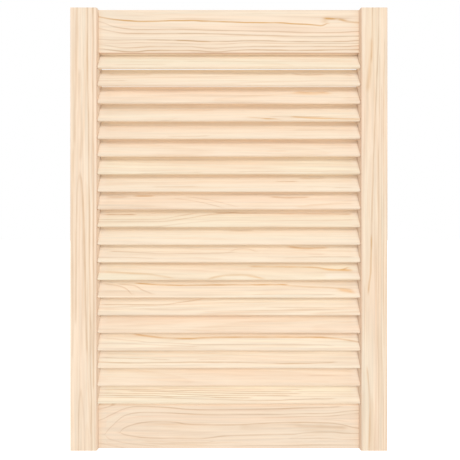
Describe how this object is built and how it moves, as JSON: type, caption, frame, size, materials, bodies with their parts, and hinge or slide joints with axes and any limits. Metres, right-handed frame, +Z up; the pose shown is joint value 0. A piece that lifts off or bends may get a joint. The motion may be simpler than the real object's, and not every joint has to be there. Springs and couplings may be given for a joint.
{
  "type": "louvred cabinet door",
  "caption": "Softwood cabinet door leaf: two stiles, two set-back rails and a column of fixed slats leaning with their lower edge to the front.",
  "frame": {"origin": "centre of the bottom edge, midway between the front and back faces of the stiles", "axes": "+Z up along the stiles, +X to the right seen from the front, -Y out of the front face"},
  "size_m": [0.494, 0.021, 0.69],
  "materials": {
    "stile_pine": "sanded bare pine, grain along the length",
    "rail_pine": "sanded bare pine, grain along the length",
    "slat_pine": "sanded bare pine, grain along the length",
    "dowel_beech": "bare beech"
  },
  "bodies": {
    "root": {"stile_left": "stile_pine", "stile_right": "stile_pine", "top_rail": "rail_pine", "bottom_rail": "rail_pine", "slat_01": "slat_pine", "slat_02": "slat_pine", "slat_03": "slat_pine", "slat_04": "slat_pine", "slat_05": "slat_pine", "slat_06": "slat_pine", "slat_07": "slat_pine", "slat_08": "slat_pine", "slat_09": "slat_pine", "slat_10": "slat_pine", "slat_11": "slat_pine", "slat_12": "slat_pine", "slat_13": "slat_pine", "slat_14": "slat_pine", "slat_15": "slat_pine", "slat_16": "slat_pine", "slat_17": "slat_pine", "slat_18": "slat_pine", "slat_19": "slat_pine", "slat_20": "slat_pine", "dowel_top_left_1": "dowel_beech", "dowel_top_left_2": "dowel_beech", "dowel_top_right_1": "dowel_beech", "dowel_top_right_2": "dowel_beech", "dowel_bottom_left_1": "dowel_beech", "dowel_bottom_left_2": "dowel_beech", "dowel_bottom_right_1": "dowel_beech", "dowel_bottom_right_2": "dowel_beech"}
  },
  "joints": []
}
